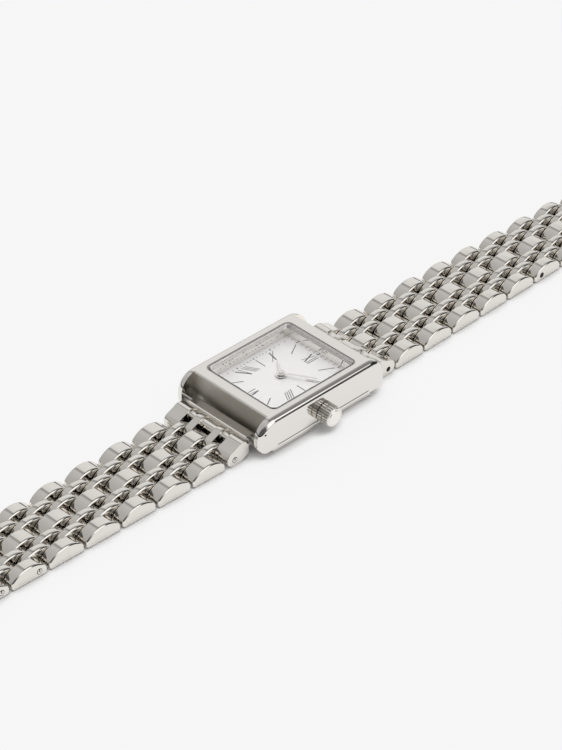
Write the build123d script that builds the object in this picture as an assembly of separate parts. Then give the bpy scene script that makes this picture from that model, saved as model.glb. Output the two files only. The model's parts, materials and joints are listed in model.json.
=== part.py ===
from build123d import *
from math import asin, cos, radians, sin
import os

# A rectangular wristwatch on a brick-pattern steel bracelet, laid out open and flat.
# Origin: centre of the caseback's flat underside. +Z out of the dial, +Y to 12 o'clock,
# +X to the crown. Millimetres throughout.

# Case middle
bezel_width = 1.7
end_wall_thickness = 1.8
lug_reach = 2.55
case_floor = 1.2
side_bar = 1.4
shoulder_radius = 1.0
bar_low_run = 23.0
bar_end_low = 2.3
bar_tip_radius = 3.2
end_edge_radius = 0.35

# Crystal and its gasket
crystal_width = 14.6
crystal_length = 17.2
crystal_thickness = 1.2
crystal_corner = 0.8
crystal_bevel = 0.15
gasket_wall = 0.25
gasket_sink = 0.1

# Dial and the opening over it
seat_aside = 0.5
seat_along = 0.6
dial_overlap_aside = 0.3
dial_overlap_along = 0.45
crystal_over_hands = 0.6
dial_thickness = 0.4
dial_top = 3.8
dial_hole_radius = 0.8
cavity_clearance = 0.1

# Caseback
back_inset = 0.35
back_floor = 0.5
back_bevel = 0.4
rim_height = 0.55
rim_wall = 0.5
back_gasket_wall = 0.25
back_gasket_height = 0.35

# Movement
holder_wall = 0.7
holder_low = 1.8
plate_low = 2.15
plate_gap = 0.05
bridge_low = 0.75
bridge_to_battery = 0.7
bridge_to_coil = 1.5
board_gap = 0.2
board_thickness = 0.3
battery_radius = 3.4
battery_height = 1.65
battery_clearance = 0.1
battery_aside = 1.0
battery_inset = 0.4
strap_width = 1.6
strap_length = 8.8
strap_thickness = 0.15
core_end_run = 1.4
coil_radius = 0.5
coil_inset = 2.0
core_clearance = 0.65
core_width = 0.9
core_thickness = 0.3

# Hands
hand_thickness = 0.15
hand_gap = 0.2
hand_hub_radius = 0.85
minute_hub_radius = 0.65
hub_cap_height = 0.2
hub_cap_radius = 0.38
hour_hand_reach = 3.6
minute_hand_reach = 5.6
hour_hand_waist = 0.66
minute_hand_waist = 0.44
hand_tip = 0.14
hour_shown = 10
minute_shown = 10
hours_per_turn = 12
minutes_per_turn = 60

# Motion work: cannon pinion, minute wheel with its pinion, hour wheel
cannon_teeth = 8
minute_wheel_teeth = 24
minute_pinion_teeth = 8
hour_wheel_teeth = 32
gear_module = 0.12
tooth_over_share = 0.8
tooth_under_share = 1.15
gear_thickness = 0.2
gear_gap = 0.06
arbor_radius = 0.3
pipe_wall = 0.24
pivot_radius = 0.2
running_clearance = 0.05

# Crown, stem and setting lever
crown_height = 2.8
crown_radius = 1.65
crown_length = 2.2
crown_flutes = 24
crown_flute_depth = 0.12
crown_bevel = 0.3
crown_gap = 0.1
crown_grip = 0.9
tube_radius = 0.85
tube_reach = 0.9
stem_radius = 0.5
stem_tip_run = 1.8
lever_inset = 2.1
lever_thickness = 0.3
lever_width = 1.5
lever_height = 1.1
groove_radius = 0.28
stem_square = 0.62

# Bracelet links
link_pitch = 6.65
link_height = 2.7
link_shoulder = 1.25
link_gap = 0.36
column_gap = 0.06
centre_column = 2.85
narrow_column = 1.38
bracelet_width = 14.0
taper_per_pitch = 0.134
end_link_run = 4.55
pin_height = 1.13
dome_facets = 6
pin_radius = 0.5
pin_sides = 4
pin_play = 0.03
hinge_swing = 9
pin_grip = 0.8
twelve_row_count = 9
six_row_count = 7

# End links and lug bars
lug_bar_inset = 1.2
lug_bar_height = 2.25
lug_bar_radius = 0.55
lug_bar_depth = 0.8
knuckle_radius = 0.95
knuckle_shoulder = 0.8
end_link_gap = 0.15
end_link_low = 0.95
end_link_nose = 2.9
end_link_crest_run = 0.95
end_link_top = 3.4
end_link_brow_run = 2.25
end_link_brow_height = 3.05
end_link_heel_run = 1.65
end_link_wrap = 155
end_link_tip_radius = 1.3
end_link_tip_shift = 0.15
end_link_relief = 0.3
end_link_bridge = 0.5
end_link_bridge_drop = 0.3
pin_recess_radius = 0.45
pin_recess_depth = 0.3
pin_recess_sides = 12

# Clasp
clasp_base_length = 24.0
clasp_base_thickness = 0.8
clasp_half_width = 5.95
clasp_wall = 0.8
clasp_lift = 0.2
clasp_cover_height = 3.1
clasp_cover_thickness = 0.7
clasp_slack = 0.12
clasp_hinge_inset = 2.5
clasp_hinge_height = 1.3
clasp_knuckle_radius = 0.75
clasp_pin_radius = 0.35
clasp_hook_height = 2.1
clasp_hook_reach = 1.8
catch_length = 5.6
catch_thickness = 1.1
catch_arm = 1.3
catch_bar = 1.2
tongue_radius = 1.05
tongue_hole_sides = 8
tongue_seat = 0.15

overrun = 1.0

# Places worked out from the sizes above
pocket_width = crystal_width + 2 * gasket_wall
pocket_length = crystal_length + 2 * gasket_wall
rehaut_width = crystal_width - 2 * seat_aside
rehaut_length = crystal_length - 2 * seat_along
dial_width = rehaut_width + 2 * dial_overlap_aside
dial_length = rehaut_length + 2 * dial_overlap_along
case_width = pocket_width + 2 * bezel_width
case_half = case_width / 2
end_wall = pocket_length / 2 + end_wall_thickness
lug_end = end_wall + lug_reach
lug_span = 2 * lug_end
bar_inner = case_half - side_bar
back_width = case_width - 2 * back_inset
back_length = 2 * (end_wall - back_inset)
cavity_width = dial_width + 2 * cavity_clearance
cavity_length = dial_length + 2 * cavity_clearance
dial_low = dial_top - dial_thickness
rim_width = cavity_width - 2 * back_gasket_wall
rim_length = cavity_length - 2 * back_gasket_wall
lever_place = dial_width / 2 - lever_inset
stem_tip = lever_place - stem_tip_run
plate_width = dial_width - 2 * holder_wall - 2 * plate_gap
core_length = plate_width - 2 * core_clearance
coil_length = core_length - 2 * core_end_run
plate_length = dial_length - 2 * holder_wall - 2 * plate_gap
plate_top = dial_low - plate_gap
battery_to_six = plate_length / 2 - battery_radius - battery_inset
coil_to_twelve = plate_length / 2 - coil_inset
bridge_from = battery_radius - battery_to_six + bridge_to_battery
bridge_to = coil_to_twelve - coil_radius - bridge_to_coil
board_from = bridge_to + board_gap
battery_top = bridge_low + battery_height
notch_width = lever_width + 2 * running_clearance
hour_hand_low = dial_top + hand_gap
minute_hand_low = hour_hand_low + hand_thickness + hand_gap
crystal_low = minute_hand_low + hand_thickness + hub_cap_height + crystal_over_hands
case_top = crystal_low + crystal_thickness
arbor_distance = gear_module * (cannon_teeth + minute_wheel_teeth) / 2
hour_module = 2 * arbor_distance / (minute_pinion_teeth + hour_wheel_teeth)
upper_gears = plate_top - gear_gap - gear_thickness
lower_gears = upper_gears - gear_gap - gear_thickness
gear_floor = lower_gears - gear_gap
pipe_bore = arbor_radius + running_clearance
pipe_radius = pipe_bore + pipe_wall
crown_inner = case_half + crown_gap
crown_outer = crown_inner + crown_length
centre_edge = centre_column / 2
inner_edge = centre_edge + narrow_column
outer_edge = inner_edge + narrow_column
link_length = link_pitch - link_gap
pin_span = link_pitch / 4
end_link_inner = lug_end + end_link_gap
end_link_crest = end_link_inner + end_link_crest_run
end_link_brow = end_link_inner + end_link_brow_run
end_link_heel = end_link_inner + end_link_heel_run
lug_bar_place = lug_end - lug_bar_inset
first_gap = end_link_inner + end_link_run
first_pin = first_gap - pin_span
knuckle_width = bracelet_width - 2 * knuckle_shoulder
columns_b = [(-centre_edge, centre_edge), (inner_edge, outer_edge), (-outer_edge, -inner_edge)]
columns_a = [(centre_edge, inner_edge), (-inner_edge, -centre_edge)]


def save(shape, node):
    """Write one node's solids to its own file."""
    shape.label = node
    export_step(shape, f"parts/{node}.step")


def slab(width, length, low, high, corner=0):
    """An upright block on the Z axis, with rounded corners if asked."""
    outline = RectangleRounded(width, length, corner) if corner else Rectangle(width, length)
    return Pos(0, 0, low) * extrude(outline, amount=high - low)


def across(outline, x_low, x_high):
    """An outline drawn in Y and Z, carried across the watch from one X to another."""
    return extrude(Plane.YZ.offset(x_low) * outline, amount=x_high - x_low, dir=(1, 0, 0))


def upright(radius, low, high):
    """A cylinder on the Z axis between two heights."""
    return Pos(0, 0, low) * Cylinder(radius, high - low, align=(Align.CENTER, Align.CENTER, Align.MIN))


def along_x(radius, x_low, x_high, y=0, z=0):
    """A cylinder along X between two places."""
    turned = Rot(0, 90, 0) * Cylinder(radius, x_high - x_low, align=(Align.CENTER, Align.CENTER, Align.MIN))
    return Pos(x_low, y, z) * turned


def brick(x_span, y_span, z_span):
    """A block between two places on each axis."""
    size = [high - low for low, high in (x_span, y_span, z_span)]
    middle = [(high + low) / 2 for low, high in (x_span, y_span, z_span)]
    return Pos(*middle) * Box(*size)


# Case middle


def case_blank():
    """The case before it is hollowed: quarter-round ends and one shoulder run round each side."""
    height = case_top - case_floor
    side = Pos(0, case_floor + height / 2) * Rectangle(lug_span, height)
    corners = side.vertices().filter_by_position(Axis.Y, case_top - height / 2, case_top)
    blank = across(fillet(corners, bar_tip_radius), -case_half, case_half)
    flanks = [edge for edge in blank.edges() if abs(edge.center().X) > bar_inner]
    shoulders = [edge for edge in flanks if edge.center().Z > bar_end_low]
    return fillet(shoulders, shoulder_radius) & across(over_bar_feet(), -case_half, case_half)


def over_bar_feet():
    """Everything above the bowed undersides of the side bars, seen from the crown side."""
    low, far, above = bar_low_run / 2, lug_end + overrun, case_top + overrun
    with BuildSketch() as sketch:
        with BuildLine():
            Line((-low, case_floor), (low, case_floor))
            TangentArc((low, case_floor), (lug_end, bar_end_low), tangent=(1, 0))
            Polyline((lug_end, bar_end_low), (far, bar_end_low), (far, above))
            Polyline((far, above), (-far, above), (-far, bar_end_low), (-lug_end, bar_end_low))
            TangentArc((-low, case_floor), (-lug_end, bar_end_low), tangent=(-1, 0))
        make_face()
    return sketch.sketch


def case_middle():
    """One milled piece: container, side bars, crystal seat and holes for tube and lug bars."""
    body = case_blank()
    recess_length = lug_end - end_wall + overrun
    for side in (1, -1):
        recess = Box(2 * bar_inner, recess_length, 2 * case_top)
        body -= Pos(0, side * (end_wall + recess_length / 2), case_top) * recess
    rims = body.edges().filter_by(Axis.X).filter_by_position(Axis.Z, crystal_low, case_top)
    rims = rims.filter_by_position(Axis.Y, -end_wall, end_wall).sort_by(lambda e: -abs(e.center().Y))
    body = fillet(rims[:2], end_edge_radius)
    body -= slab(cavity_width, cavity_length, 0, dial_top)
    body -= slab(rehaut_width, rehaut_length, 0, case_top)
    body -= slab(pocket_width, pocket_length, crystal_low, case_top + overrun, crystal_corner + gasket_wall)
    body -= along_x(tube_radius, 0, case_half + overrun, z=crown_height)
    reach = bar_inner + lug_bar_depth
    for side in (1, -1):
        body -= along_x(lug_bar_radius, -reach, reach, side * lug_bar_place, lug_bar_height)
    return body


def crystal():
    """Mineral crystal, flush with the bezel, with a bevelled upper edge."""
    plate = slab(crystal_width, crystal_length, crystal_low, case_top, crystal_corner)
    return chamfer(plate.faces().sort_by(Axis.Z)[-1].edges(), crystal_bevel)


def crystal_gasket():
    """Ring pressed between crystal and case."""
    top = case_top - gasket_sink
    ring = slab(pocket_width, pocket_length, crystal_low, top, crystal_corner + gasket_wall)
    return ring - slab(crystal_width, crystal_length, crystal_low, top, crystal_corner)


def caseback():
    """Pressed-on back: bevelled plate with a hollow rim that goes up into the case."""
    plate = slab(back_width, back_length, 0, case_floor)
    plate = chamfer(plate.faces().sort_by(Axis.Z)[0].edges(), back_bevel)
    plate += slab(rim_width, rim_length, case_floor, case_floor + rim_height)
    hollow_width, hollow_length = rim_width - 2 * rim_wall, rim_length - 2 * rim_wall
    return plate - slab(hollow_width, hollow_length, back_floor, case_floor + rim_height)


def back_gasket():
    """Flat ring round the caseback's rim."""
    top = case_floor + back_gasket_height
    return slab(cavity_width, cavity_length, case_floor, top) - slab(rim_width, rim_length, case_floor, top)


def lug_bars():
    """The two bars that hold the end links, each seated in both side bars."""
    reach = bar_inner + lug_bar_depth
    return [along_x(lug_bar_radius, -reach, reach, side * lug_bar_place, lug_bar_height) for side in (1, -1)]


# Dial, movement and battery


def dial():
    """Dial plate under the opening, with a hole for the hands' pipes."""
    return slab(dial_width, dial_length, dial_low, dial_top) - upright(dial_hole_radius, dial_low, dial_top)


def movement_holder():
    """Frame that fills the room between movement and case, notched for the stem."""
    ring = slab(dial_width, dial_length, holder_low, dial_low)
    ring -= slab(dial_width - 2 * holder_wall, dial_length - 2 * holder_wall, holder_low, dial_low)
    half_notch = stem_radius + running_clearance
    return ring - brick((0, dial_width), (-half_notch, half_notch), (holder_low, dial_low))


def main_plate():
    """Plate that carries the train: pockets for motion work, stem and battery."""
    plate = slab(plate_width, plate_length, plate_low, plate_top)
    wheel_reach = gear_module * (minute_wheel_teeth / 2 + 2)
    hour_reach = hour_module * (hour_wheel_teeth / 2 + 2)
    train_run = (-arbor_distance - wheel_reach, hour_reach)
    plate -= brick(train_run, (-hour_reach, hour_reach), (gear_floor, plate_top))
    notch = (stem_tip - running_clearance, plate_width)
    plate -= brick(notch, (-notch_width / 2, notch_width / 2), (plate_low, plate_top))
    room = battery_radius + battery_clearance
    across_span = (-battery_aside - room, -battery_aside + room)
    along_span = (-battery_to_six - room, -battery_to_six + room)
    return plate - brick(across_span, along_span, (plate_low, battery_top + battery_clearance))


def train_bridge():
    """Block that closes the going train under the plate."""
    half = plate_width / 2
    return brick((-half, half), (bridge_from, bridge_to), (bridge_low, plate_low))


def circuit_board():
    """Board against the underside of the main plate, towards 12 o'clock."""
    half = plate_width / 2
    return brick((-half, half), (board_from, plate_length / 2), (plate_low - board_thickness, plate_low))


def coil():
    """Motor winding on its flat core, which is held under the board."""
    height = plate_low - board_thickness - coil_radius
    winding = along_x(coil_radius, -coil_length / 2, coil_length / 2, coil_to_twelve, height)
    core = Pos(0, coil_to_twelve, height) * Box(core_length, core_width, core_thickness)
    return winding + core


def battery():
    """Button cell, seated up into the main plate."""
    return Pos(-battery_aside, -battery_to_six, 0) * upright(battery_radius, bridge_low, battery_top)


def battery_strap():
    """Spring strip across the cell, held at the bridge."""
    start = bridge_from + strap_width
    side = (-battery_aside - strap_width / 2, -battery_aside + strap_width / 2)
    return brick(side, (start - strap_length, start), (bridge_low - strap_thickness, bridge_low))


# Hands and motion work


def clock_turn(part_turn):
    """Turn clockwise from 12 o'clock by a share of a full turn."""
    return Rot(0, 0, -360 * part_turn)


def hand_outline(reach, waist, hub_radius):
    """A slim pointed hand with a round hub."""
    tip = hand_tip / 2
    blade = Polygon((tip, reach), (-tip, reach), (-waist / 2, 0), (waist / 2, 0), align=None)
    return blade + Circle(hub_radius)


def hour_hand():
    """Hour hand on top of its pipe, bored for the minute arbor."""
    outline = hand_outline(hour_hand_reach, hour_hand_waist, hand_hub_radius)
    hand = Pos(0, 0, hour_hand_low) * extrude(outline, amount=hand_thickness)
    hand -= upright(pipe_bore, hour_hand_low, minute_hand_low)
    return clock_turn((hour_shown + minute_shown / minutes_per_turn) / hours_per_turn) * hand


def minute_hand():
    """Minute hand on the cannon pinion's arbor, with a raised cap."""
    outline = hand_outline(minute_hand_reach, minute_hand_waist, minute_hub_radius)
    hand = Pos(0, 0, minute_hand_low) * extrude(outline, amount=hand_thickness)
    top = minute_hand_low + hand_thickness
    hand += upright(hub_cap_radius, top, top + hub_cap_height)
    return clock_turn(minute_shown / minutes_per_turn) * hand


def gear(teeth, module, low, phase_share):
    """A spur wheel with pointed teeth, turned by a share of one tooth."""
    pitch_radius = module * teeth / 2
    tip = pitch_radius + tooth_over_share * module
    root = pitch_radius - tooth_under_share * module
    corners = []
    for step in range(2 * teeth):
        angle = radians(360 * (step / 2 + phase_share) / teeth)
        radius = root if step % 2 else tip
        corners.append((radius * cos(angle), radius * sin(angle)))
    return Pos(0, 0, low) * extrude(Polygon(*corners, align=None), amount=gear_thickness)


def cannon_pinion():
    """Pinion under the dial whose arbor carries the minute hand."""
    pinion = gear(cannon_teeth, gear_module, lower_gears, 0)
    return pinion + upright(arbor_radius, gear_floor, minute_hand_low)


def minute_wheel():
    """Wheel driven by the cannon pinion, with the pinion that drives the hour wheel."""
    wheel = gear(minute_wheel_teeth, gear_module, lower_gears, 1 / 2)
    wheel += upright(pivot_radius, gear_floor, upper_gears)
    wheel += gear(minute_pinion_teeth, hour_module, upper_gears, 0)
    return Pos(-arbor_distance, 0, 0) * wheel


def hour_wheel():
    """Hour wheel on a pipe that turns round the arbor and carries the hour hand."""
    wheel = gear(hour_wheel_teeth, hour_module, upper_gears, 1 / 2)
    wheel += upright(pipe_radius, upper_gears, hour_hand_low)
    return wheel - upright(pipe_bore, upper_gears, hour_hand_low)


# Crown, tube, stem and setting lever


def crown_tube():
    """Tube fixed in the case wall, which guides the stem."""
    inner, outer = cavity_width / 2, case_half + tube_reach
    tube = along_x(tube_radius, inner, outer, z=crown_height)
    return tube - along_x(stem_radius + running_clearance, inner, outer, z=crown_height)


def crown():
    """Fluted crown with a bevelled end, hollow over the tube and bored for the stem."""
    points = []
    for step in range(2 * crown_flutes):
        angle = radians(360 * step / (2 * crown_flutes))
        radius = crown_radius - (crown_flute_depth if step % 2 else 0)
        points.append((radius * cos(angle), radius * sin(angle)))
    fluted = Polygon(*points, align=None)
    body = across(Pos(0, crown_height) * fluted, crown_inner, crown_outer - crown_bevel)
    rim = Circle(crown_radius - crown_flute_depth)
    face = offset(rim, amount=-crown_bevel)
    near, far = crown_outer - crown_bevel, crown_outer
    sections = [Plane.YZ.offset(x) * Pos(0, crown_height) * ring for x, ring in ((near, rim), (far, face))]
    body += loft(sections)
    room = case_half + tube_reach + running_clearance
    body -= along_x(tube_radius + running_clearance, crown_inner, room, z=crown_height)
    return body - along_x(stem_radius, crown_inner, room + crown_grip, z=crown_height)


def stem():
    """Stem from the movement into the crown: square tip, groove for the lever, round shaft."""
    outer = case_half + tube_reach + running_clearance + crown_grip
    half_groove = lever_thickness / 2 + running_clearance
    groove_low, groove_high = lever_place - half_groove, lever_place + half_groove
    tip = across(Pos(0, crown_height) * Rectangle(stem_square, stem_square), stem_tip, groove_low)
    neck = along_x(groove_radius, groove_low, groove_high, z=crown_height)
    return tip + neck + along_x(stem_radius, groove_high, outer, z=crown_height)


def setting_lever():
    """Forked end of the lever that sits in the stem's groove and slides out with it."""
    span = (lever_place - lever_thickness / 2, lever_place + lever_thickness / 2)
    slot = groove_radius + running_clearance
    low = crown_height - lever_height / 2
    fork = brick(span, (-lever_width / 2, lever_width / 2), (low, low + lever_height))
    return fork - brick(span, (-slot, slot), (crown_height - slot, low + lever_height))


# Bracelet


def half_width(y):
    """Half the bracelet's width at a distance from the case's centre."""
    return bracelet_width / 2 - taper_per_pitch * (y - first_gap) / link_pitch


def link_outline(y):
    """One link from the side: flat underside, upright ends, top domed in equal facets."""
    half = link_length / 2
    rise = link_height - link_shoulder
    bow = (half**2 + rise**2) / (2 * rise)
    reach = asin(half / bow)
    corners = [(y - half, 0), (y + half, 0)]
    for step in range(dome_facets + 1):
        angle = reach * (1 - 2 * step / dome_facets)
        corners.append((y + bow * sin(angle), link_height - bow * (1 - cos(angle))))
    return Polygon(*corners, align=None)


def pin_hole(y):
    """Opening in which a hinge pin rocks as far as the links swing."""
    room = pin_radius * cos(radians(180 / pin_sides - hinge_swing)) + pin_play
    return Pos(y, pin_height) * RegularPolygon(room, pin_sides, major_radius=False)


def hinge_pin(y):
    """A hinge pin from one outer link to the other, fast in its own row."""
    reach = outer_edge + pin_grip
    return across(Pos(y, pin_height) * RegularPolygon(pin_radius, pin_sides), -reach, reach)


def in_column(outline, column):
    """An outline as thick as its column, less the play between columns."""
    low, high = sorted(column)
    return across(outline, low + column_gap / 2, high - column_gap / 2)


def outer_link(y):
    """Edge link, whose outer flank follows the bracelet's taper."""
    reach = half_width(y - link_length / 2)
    blank = in_column(link_outline(y), (outer_edge, reach + overrun))
    near, far = y - link_length / 2, y + link_length / 2
    plan = Polygon(
        (0, near), (half_width(near), near), (half_width(far), far), (0, far), align=None
    )
    return blank & extrude(plan, amount=link_height)


def outer_row(y):
    """Four links of one row, made fast to each other by their two hinge pins."""
    edge = outer_link(y)
    row = edge + mirror(edge, Plane.YZ)
    for column in columns_a:
        row += in_column(link_outline(y), column)
    for side in (1, -1):
        row += hinge_pin(y + side * pin_span)
    return row


def inner_row(y):
    """Three links of one row, each turning on the pins of the rows beside it."""
    outline = link_outline(y) - pin_hole(y - pin_span) - pin_hole(y + pin_span)
    return [in_column(outline, column) for column in columns_b]


# End links


def end_link_outline():
    """The end link from the side: crest at the case, slope down to a round hinge end."""
    brow = (end_link_brow, end_link_brow_height)
    nose = (end_link_inner, end_link_nose)
    tip_centre = first_pin + end_link_tip_shift
    with BuildSketch() as sketch:
        with BuildLine():
            Polyline(nose, (end_link_inner, end_link_low), (end_link_heel, 0), (tip_centre, 0))
            tip = CenterArc((tip_centre, end_link_tip_radius), end_link_tip_radius, -90, end_link_wrap)
            Line(tip @ 1, brow)
            ThreePointArc(nose, (end_link_crest, end_link_top), brow)
        make_face()
    return sketch.sketch


def end_link_relief_outline():
    """Room that the first row of inner links needs under and beside the cross bar."""
    start = first_gap - link_length / 2 - end_link_relief
    under = link_shoulder + end_link_bridge
    edge = end_link_brow - end_link_relief
    beyond, above = first_gap, end_link_top + overrun
    return Polygon(
        (start, -overrun), (start, under), (edge, under + end_link_bridge), (edge, above),
        (beyond, above), (beyond, -overrun), align=None
    )


def knuckle_outline():
    """Lobe round the lug bar, joined to the cross bar."""
    middle = (lug_bar_place + end_link_inner) / 2
    web = Pos(middle, lug_bar_height) * Rectangle(end_link_inner - lug_bar_place, 2 * knuckle_radius)
    return Pos(lug_bar_place, lug_bar_height) * Circle(knuckle_radius) + web


def end_link():
    """Fingers, cross bar and knuckle in one piece, with the first hinge pin."""
    half = bracelet_width / 2
    outline = end_link_outline()
    body = across(outline, -half, half)
    over_bridge = outline - Pos(0, -end_link_bridge_drop) * outline
    for low, high in columns_b:
        for cut in (end_link_relief_outline(), over_bridge):
            body -= across(cut, low - column_gap / 2, high + column_gap / 2)
    recess = Pos(first_pin, pin_height) * RegularPolygon(pin_recess_radius, pin_recess_sides)
    body -= across(recess, half - pin_recess_depth, half) + across(recess, -half, pin_recess_depth - half)
    body += across(knuckle_outline(), -knuckle_width / 2, knuckle_width / 2)
    bore = lug_bar_radius + running_clearance
    body -= along_x(bore, -half, half, lug_bar_place, lug_bar_height)
    return body + hinge_pin(first_pin)


# Clasp


def tongues(root):
    """Three round-ended tongues between the last outer links, each open for their pin."""
    pin_y = root - link_gap / 2 - pin_span
    heel = root + tongue_seat
    neck = Pos((pin_y + heel) / 2, pin_height) * Rectangle(heel - pin_y, 2 * tongue_radius)
    room = RegularPolygon(pin_radius + running_clearance, tongue_hole_sides, major_radius=False)
    hole = Pos(pin_y, pin_height) * room
    outline = Pos(pin_y, pin_height) * Circle(tongue_radius) + neck - hole
    return [in_column(outline, column) for column in columns_b]


def clasp_root(rows):
    """Where the last outer links of a half end."""
    return first_gap + rows * link_pitch + link_gap / 2


def clasp_base():
    """Plate with tongues, hinge knuckle and pin, and the hook at its free end."""
    root = clasp_root(six_row_count)
    half = clasp_half_width - clasp_wall - clasp_slack
    end = root + clasp_base_length
    body = brick((-half, half), (root, end), (0, clasp_base_thickness))
    for tongue in tongues(root):
        body += tongue
    hinge = (root + clasp_hinge_inset, clasp_hinge_height)
    body += along_x(clasp_knuckle_radius, -half, half, *hinge)
    body += along_x(clasp_pin_radius, -clasp_half_width, clasp_half_width, *hinge)
    lip = clasp_hook_height - clasp_base_thickness
    body += brick((-half, half), (end - clasp_base_thickness, end), (0, clasp_hook_height))
    hook = brick((-half, half), (end - clasp_hook_reach, end), (lip, clasp_hook_height))
    return body + hook


def clasp_cover():
    """Folding cover: top plate, two side walls on the hinge pin, end wall over the hook."""
    hinge = clasp_root(six_row_count) + clasp_hinge_inset
    end = clasp_root(six_row_count) + clasp_base_length + clasp_slack
    far = end + clasp_wall
    half = clasp_half_width
    low, high = clasp_lift, clasp_cover_height
    ear = clasp_hinge_height - clasp_lift
    body = brick((-half, half), (hinge + clasp_pin_radius, far), (high - clasp_cover_thickness, high))
    body += brick((-half, half), (end, far), (low, high))
    for side in (1, -1):
        wall = (side * (half - clasp_wall), side * half)
        body += brick(sorted(wall), (hinge, far), (low, high))
        ear_disc = along_x(ear, min(wall), max(wall), hinge, clasp_hinge_height)
        body += ear_disc
    bore = clasp_pin_radius + running_clearance
    return body - along_x(bore, -half, half, hinge, clasp_hinge_height)


def clasp_catch():
    """Open frame on the other half, whose bar goes under the hook."""
    root = clasp_root(twelve_row_count)
    half = half_width(root)
    end = root + catch_length
    frame = brick((-half, half), (root, end), (0, catch_thickness))
    opening_run = (root + catch_bar, end - catch_bar)
    frame -= brick((catch_arm - half, half - catch_arm), opening_run, (0, catch_thickness))
    for tongue in tongues(root):
        frame += tongue
    return frame


# Everything in its place

twelve = Rot(0, 0, 0)
six = Rot(0, 0, 180)

os.makedirs("parts", exist_ok=True)

pieces = [
    case_middle, crystal, crystal_gasket, caseback, back_gasket, dial, movement_holder,
    main_plate, train_bridge, circuit_board, coil, battery, battery_strap, hour_hand,
    hour_wheel, minute_hand, cannon_pinion, minute_wheel, crown_tube, crown, stem,
    setting_lever, clasp_catch,
]
for piece in pieces:
    save(piece(), piece.__name__)
save(Compound(lug_bars()), "lug_bars")
save(six * clasp_base(), "clasp_base")
save(six * clasp_cover(), "clasp_cover")
for turn, name, rows in ((twelve, "twelve", twelve_row_count), (six, "six", six_row_count)):
    save(turn * end_link(), f"end_link_{name}")
    for number in range(rows):
        place = first_gap + number * link_pitch
        inner = [turn * link for link in inner_row(place)]
        save(Compound(inner), f"inner_row_{name}_{number + 1}")
        save(turn * outer_row(place + link_pitch / 2), f"outer_row_{name}_{number + 1}")
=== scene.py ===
import json
import math

import bmesh
import bpy
from mathutils import Matrix, Vector


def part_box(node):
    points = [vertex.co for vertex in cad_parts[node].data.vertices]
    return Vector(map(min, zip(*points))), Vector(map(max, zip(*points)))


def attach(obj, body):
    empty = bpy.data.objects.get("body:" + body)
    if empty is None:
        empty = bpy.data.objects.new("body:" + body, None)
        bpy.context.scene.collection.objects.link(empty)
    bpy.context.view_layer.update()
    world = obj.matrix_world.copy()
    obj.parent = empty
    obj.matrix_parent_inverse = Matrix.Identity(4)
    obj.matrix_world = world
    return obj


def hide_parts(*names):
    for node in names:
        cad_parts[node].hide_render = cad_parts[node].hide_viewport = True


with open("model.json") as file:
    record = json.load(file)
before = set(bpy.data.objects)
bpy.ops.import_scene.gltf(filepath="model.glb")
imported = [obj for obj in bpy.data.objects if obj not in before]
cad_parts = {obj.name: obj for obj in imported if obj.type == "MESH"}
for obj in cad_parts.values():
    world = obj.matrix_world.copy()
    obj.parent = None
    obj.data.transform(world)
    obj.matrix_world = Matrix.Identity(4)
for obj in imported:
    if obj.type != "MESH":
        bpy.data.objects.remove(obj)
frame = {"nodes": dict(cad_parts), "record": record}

bl_info = {
    "name": "Rectangular bracelet watch",
    "version": (1, 0, 0),
    "blender": (4, 5, 0),
    "location": "3D View > Sidebar > Watch",
    "description": "Dresses a rectangular wristwatch: steel, crystal, dial, crown and bracelet",
    "category": "Object",
}

MM = 0.001

# Groups of parts that share a finish
ROWS = [name for name in frame["nodes"] if "_row_" in name]
END_LINKS = ["end_link_twelve", "end_link_six"]
CLASP = ["clasp_base", "clasp_cover", "clasp_catch"]


# Colours and sizes that a user would change


def linear(hex_colour):
    """An sRGB hex value as the linear colour that a shader takes."""
    channels = [int(hex_colour[i : i + 2], 16) / 255 for i in (1, 3, 5)]
    steps = [c / 12.92 if c <= 0.04045 else ((c + 0.055) / 1.055) ** 2.4 for c in channels]
    return (*steps, 1.0)


def colour(name, description, value):
    """A colour in the panel."""
    return bpy.props.FloatVectorProperty(
        name=name, description=description, subtype="COLOR", size=4, default=linear(value)
    )


def length(name, description, value):
    """A length in the panel, in metres as Blender keeps it, from millimetres."""
    return bpy.props.FloatProperty(
        name=name,
        description=description,
        subtype="DISTANCE",
        unit="LENGTH",
        default=value * MM,
        min=0.0,
    )


class WatchColours(bpy.types.PropertyGroup):
    case_steel: colour("Case steel", "Tint of the mirror-polished case and its back", "#e9e6e1")
    link_steel: colour("Link steel", "Tint of the polished bracelet links", "#e6e2dc")
    # Darker than the case steel: painted shade for the recess between the side bars
    recess_shade_tint: colour("Recess steel", "Tint of the steel between the side bars", "#c2bdb5")
    crown_steel: colour("Crown steel", "Tint of the knurled crown", "#f6f3ee")
    ledge_steel: colour("Ledge steel", "Tint of the blasted ledge under the crystal", "#dedad6")
    clasp_steel: colour("Clasp steel", "Tint of the brushed clasp", "#d3d0cb")
    hand_steel: colour("Hand steel", "Tint of the hands", "#f2f0ed")
    lacquer: colour("Dial lacquer", "Colour of the dial", "#f2f1f0")
    ink: colour("Dial ink", "Colour of the numerals and the minute track", "#2f2e2f")
    paper: colour("Floor paper", "Colour of the paper that the watch lies on", "#f6f6f6")


class WatchSizes(bpy.types.PropertyGroup):
    case_edge: length("Case edge", "Rounding of the case's edges", 0.08)
    link_edge: length("Link edge", "Rounding of the links' flank edges", 0.34)
    link_toe: length("Link toe", "Rounding of the links' lower ends", 0.55)
    crystal_air: length("Crystal air", "Gap between the crystal and its gasket", 0.03)
    crystal_corner: length("Crystal corner", "Corner radius of the crystal in plan", 0.8)
    bar_stroke: length("Bar stroke", "Width of the bars at the odd hours", 0.15)
    track_stroke: length("Track stroke", "Width of the minute strokes", 0.09)
    track_dot: length("Track dot", "Radius of the five-minute dots", 0.15)


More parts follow.
